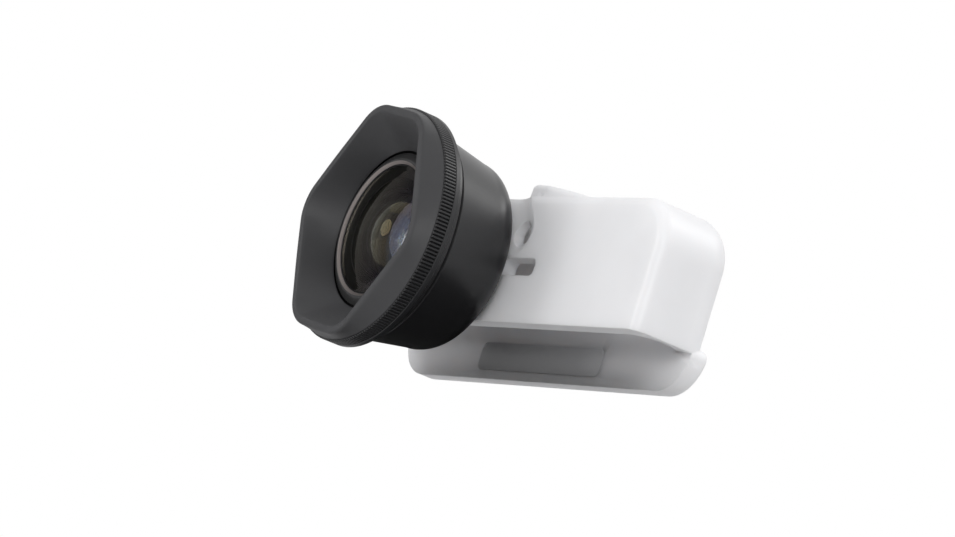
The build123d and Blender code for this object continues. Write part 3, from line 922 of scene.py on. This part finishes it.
def shade_ring(out, inset, circle_r, start):
    """A ring between a circle at a starting distance and the rim's hexagon, with its inset."""
    mix = (out - start) / (rim_out - start)
    return [(1 - mix) * circle_r + mix * hexagon_radius(a, inset) for a in hood_angles], out


def plain_rings(profile, steps):
    """Round rings from (radius, distance) points."""
    return [([radius] * steps, out) for radius, out in profile]


sleeve_r, sleeve_bore_r, sleeve_back = 16.32, 15.65, 13.5
elastic_groove_r = 15.95
sleeve_chamfer = 0.05
recess_r, recess_front = 14.0, 15.8
funnel_back_r = 12.3
stations = plain_rings([
    (band_r, back_out), (sleeve_r, back_out), (sleeve_r, sleeve_back + sleeve_chamfer),
    (sleeve_r - sleeve_chamfer, sleeve_back), (sleeve_bore_r + sleeve_chamfer, sleeve_back),
    (sleeve_bore_r, sleeve_back + sleeve_chamfer), (sleeve_bore_r, groove_back),
    (elastic_groove_r, groove_back), (elastic_groove_r, groove_front), (sleeve_bore_r, groove_front),
    (sleeve_bore_r, recess_front), (recess_r, recess_front),
    (funnel_back_r, funnel_out), (funnel_r, funnel_out),
], hood_steps)

funnel_rows, shade_rows = 8, 5
quarter_rows = 4
for i in range(1, funnel_rows + 1):
    out = funnel_out + (rim_out - inner_rim_round - funnel_out) * i / funnel_rows
    stations.append(shade_ring(out, rim_width, funnel_r, funnel_out))
for i in range(1, quarter_rows):
    angle = math.pi / 2 * i / quarter_rows
    out = rim_out - inner_rim_round * (1 - math.sin(angle))
    inset = rim_width - inner_rim_round * (1 - math.cos(angle))
    stations.append(shade_ring(out, inset, funnel_r, funnel_out))
for i in range(quarter_rows, -1, -1):
    angle = math.pi / 2 * i / quarter_rows
    out = rim_out - rim_round * (1 - math.sin(angle))
    stations.append(shade_ring(out, rim_round * (1 - math.cos(angle)), band_r, back_out))
shade_top = rim_out - rim_round
for i in range(1, shade_rows):
    out = shade_top - (shade_top - back_out) * i / shade_rows
    stations.append(shade_ring(out, 0.0, band_r, back_out))
print("hood stations:", len(stations))

# %% [markdown]
# Four-sided faces between neighbouring stations close the wall. The hexagon is turned a little about the
# axis, as in the picture that the camera was matched to.

# %% Weave the stations
woven_corner = math.radians(30)


def woven(name, rings, material, angles):
    """A closed mesh through rings of radii, each at its distance along the lens axis."""
    shape = bmesh.new()
    rows = []
    for radii, out in rings:
        rows.append([shape.verts.new((r * math.cos(a), r * math.sin(a), out)) for r, a in zip(radii, angles)])
    count = len(angles)
    for first, second in zip(rows, rows[1:] + rows[:1]):
        for i in range(count):
            j = (i + 1) % count
            face = shape.faces.new((first[i], first[j], second[j], second[i]))
            face.smooth = True
    bmesh.ops.recalc_face_normals(shape, faces=shape.faces)
    shape.transform(on_axis)
    mesh = bpy.data.meshes.new(name)
    shape.to_mesh(mesh)
    shape.free()
    mesh.set_sharp_from_angle(angle=woven_corner)
    mesh.materials.append(material)
    piece = bpy.data.objects.new(name, mesh)
    bpy.context.scene.collection.objects.link(piece)
    return piece


hood = woven("hood", stations, hood_grey, [a + hood_turn for a in hood_angles])
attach(hood, "hood")
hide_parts("hood_body")
print("hood faces:", len(hood.data.polygons))

# %% [markdown]
# ## The mount's threads
# The lens unit unscrews from the cap, and then its thread shows. The measured solids carry a plain
# cylinder there. Here the radius of each ring of points rises and falls with the angle, so that one
# crest climbs a pitch in each turn, on the mount's outside and in the insert's bore.

# %% Threads
thread_pitch = 0.75
rings_a_pitch = 8
flank_slope, crest_share = 1.6, 0.3
thread_steps = 120
thread_angles = [2 * math.pi * i / thread_steps for i in range(thread_steps)]


def thread_rings(low, high, low_r, high_r, fade):
    """Rings whose radius swings between two radii once in a pitch, with less swing near both ends."""
    count = math.ceil((high - low) / (thread_pitch / rings_a_pitch))
    rings = []
    for i in range(count + 1):
        out = low + (high - low) * i / count
        strength = min(1.0, (out - low) / fade, (high - out) / fade)
        radii = []
        for a in thread_angles:
            phase = (out / thread_pitch - a / (2 * math.pi)) % 1.0
            swing = min(1.0, max(0.0, flank_slope * abs(2 * phase - 1) - crest_share))
            radii.append(low_r + (high_r - low_r) * swing * strength)
        rings.append((radii, out))
    return rings


mount_end, plate_back, plate_front = -2.1, 0.4, 1.5
mount_root_r, mount_crest_r, mount_bore_r = 5.6, 5.98, 4.6
plate_r, plate_chamfer = 7.9, 0.1
mount_thread_front = 0.3
mount_rings = thread_rings(mount_end, mount_thread_front, mount_root_r, mount_crest_r, fade=0.3)
mount_rings += plain_rings([
    (mount_crest_r, plate_back), (plate_r - plate_chamfer, plate_back), (plate_r, plate_back + plate_chamfer),
    (plate_r, plate_front), (mount_bore_r, plate_front), (mount_bore_r, mount_end),
], thread_steps)
mount = woven("mount_back", mount_rings, barrel_black, thread_angles)
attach(mount, "lens")
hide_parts("mount_ring")

insert_end, insert_step = -2.5, -2.0
insert_crest_r, insert_root_r, insert_r, insert_flange_r = 6.06, 6.4, 6.95, 7.35
insert_rings = thread_rings(insert_end, 0.0, insert_crest_r, insert_root_r, fade=0.25)
insert_rings += plain_rings([
    (insert_r, 0.0), (insert_r, insert_step), (insert_flange_r, insert_step), (insert_flange_r, insert_end),
], thread_steps)
insert = woven("clip_insert", insert_rings, insert_steel, thread_angles)
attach(insert, "clip")
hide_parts("mount_insert")
print("thread faces:", len(mount.data.polygons), len(insert.data.polygons))
